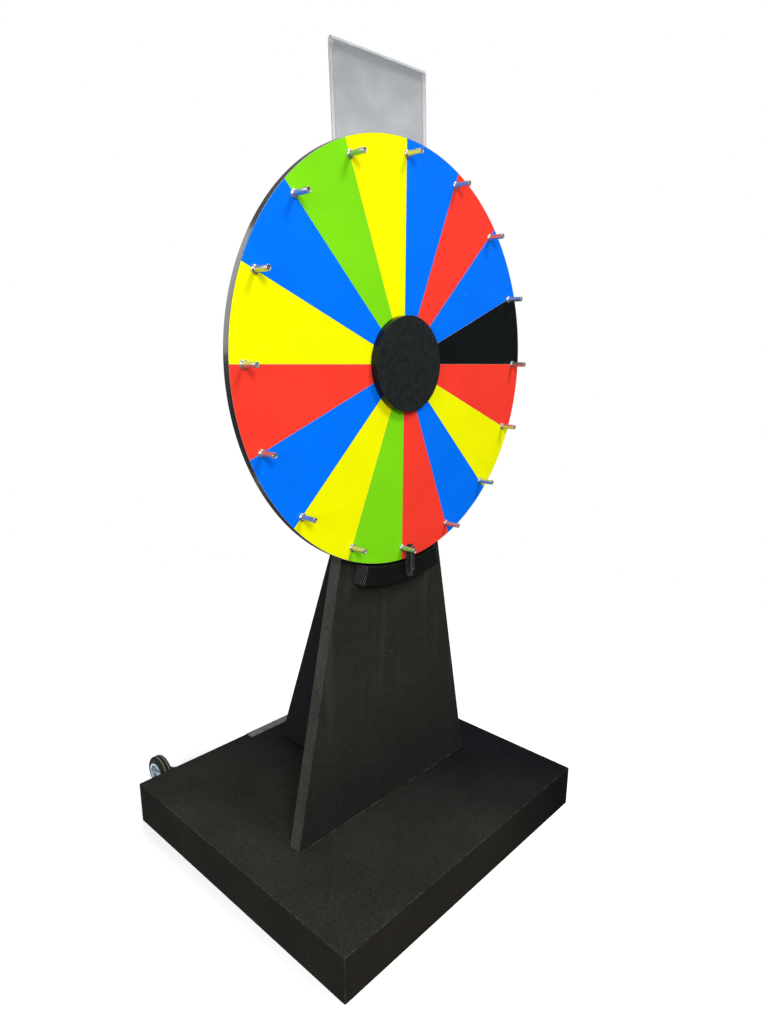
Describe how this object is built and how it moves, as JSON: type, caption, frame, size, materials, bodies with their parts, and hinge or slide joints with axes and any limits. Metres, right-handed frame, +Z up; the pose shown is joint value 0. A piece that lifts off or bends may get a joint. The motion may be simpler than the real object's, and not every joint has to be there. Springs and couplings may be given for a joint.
{
  "type": "prize wheel on a stand",
  "caption": "Upright spinning prize wheel with coloured sectors and chrome pegs, on a tapered black stand with a box base, a rubber flapper, a clear header pocket and rear casters.",
  "frame": {"origin": "middle of the underside of the base, on the floor", "axes": "+Z up, +X to the right as seen by a player, the wheel faces -Y"},
  "size_m": [0.9999, 1.019, 2.0379],
  "materials": {
    "black_board": "through-dyed black fibreboard, matt, with paler sawn edges",
    "raw_board": "bare fibreboard and beech",
    "zinc": "zinc-plated steel",
    "strip_metal": "dull weathered flat bar",
    "brass": "turned brass",
    "twill_block": "black twill-pattern foil over a solid block",
    "steel": "turned steel",
    "black_steel": "blackened steel",
    "mast_aluminium": "drawn aluminium bar",
    "clear_acrylic": "clear folded acrylic sheet",
    "rim_black": "board with a glossy black edge",
    "blue_sheet": "satin vinyl sheet",
    "red_sheet": "satin vinyl sheet",
    "yellow_sheet": "satin vinyl sheet",
    "green_sheet": "satin vinyl sheet",
    "black_sheet": "satin vinyl sheet",
    "cover_black": "turned black plastic, matt face and glossier edge",
    "chrome": "polished chrome",
    "flapper_rubber": "moulded black rubber",
    "tyre_rubber": "solid black rubber",
    "core_zinc": "bluish zinc plate"
  },
  "bodies": {
    "stand": {"base_top": "black_board", "front_rail": "black_board", "rear_rail": "black_board", "side_rails": "black_board", "front_panel": "black_board", "rear_rib": "black_board", "bottom_board": "raw_board", "panel_bearer": "raw_board", "rib_bearer": "raw_board", "corner_blocks": "raw_board", "rib_dowels": "raw_board", "bottom_screws": "zinc", "strip_screws": "zinc", "stand_bolts": "zinc", "stand_washers": "zinc", "block_screws": "zinc", "housing_screws": "zinc", "mast_screws": "zinc", "pocket_screws": "zinc", "pocket_nuts": "zinc", "caster_brackets": "zinc", "caster_bolts": "zinc", "caster_nuts": "zinc", "caster_screws": "zinc", "rear_strip": "strip_metal", "foot_inserts": "brass", "pointer_block": "twill_block", "flapper_pin": "black_steel", "bearing_housing": "steel", "bearing_outer_rings": "steel", "caster_sleeves": "steel", "header_mast": "mast_aluminium", "header_pocket": "clear_acrylic"},
    "wheel": {"wheel_disc": "rim_black", "blue_sectors": "blue_sheet", "red_sectors": "red_sheet", "yellow_sectors": "yellow_sheet", "green_sectors": "green_sheet", "black_sector": "black_sheet", "hub_cover": "cover_black", "cover_screws": "zinc", "flange_bolts": "zinc", "flange_nuts": "zinc", "peg_nuts": "zinc", "spindle_washer": "zinc", "spindle_nut": "zinc", "peg_sleeves": "chrome", "peg_collars": "chrome", "spindle": "steel", "peg_studs": "steel", "bearing_inner_rings": "steel", "bearing_spacer": "steel", "front_spacer": "steel"},
    "ball_set": {"bearing_balls": "chrome", "bearing_cages": "brass"},
    "flapper": {"flapper": "flapper_rubber"},
    "left_caster_wheel": {"left_caster_tyre": "tyre_rubber", "left_caster_core": "core_zinc"},
    "right_caster_wheel": {"right_caster_tyre": "tyre_rubber", "right_caster_core": "core_zinc"}
  },
  "joints": [
    {"name": "wheel_spin", "type": "hinge", "parent": "stand", "child": "wheel", "pos_m": [0, -0.15, 1.345], "axis": [0, 1, 0], "continuous": true},
    {"name": "ball_orbit", "type": "hinge", "parent": "stand", "child": "ball_set", "pos_m": [0, -0.15, 1.345], "axis": [0, 1, 0], "continuous": true},
    {"name": "flapper_flex", "type": "hinge", "parent": "stand", "child": "flapper", "pos_m": [0.01105, -0.182, 0.816], "axis": [0, 1, 0], "range_deg": [-45, 45], "stiffness_Nm_per_rad": 1, "deforming": ["flapper"]},
    {"name": "left_caster_spin", "type": "hinge", "parent": "stand", "child": "left_caster_wheel", "pos_m": [-0.37, 0.5195, 0.079], "axis": [1, 0, 0], "continuous": true},
    {"name": "right_caster_spin", "type": "hinge", "parent": "stand", "child": "right_caster_wheel", "pos_m": [0.37, 0.5195, 0.079], "axis": [1, 0, 0], "continuous": true}
  ],
  "couplings": [
    {"joint": "ball_orbit", "follows": "wheel_spin", "ratio": 0.3961}
  ]
}
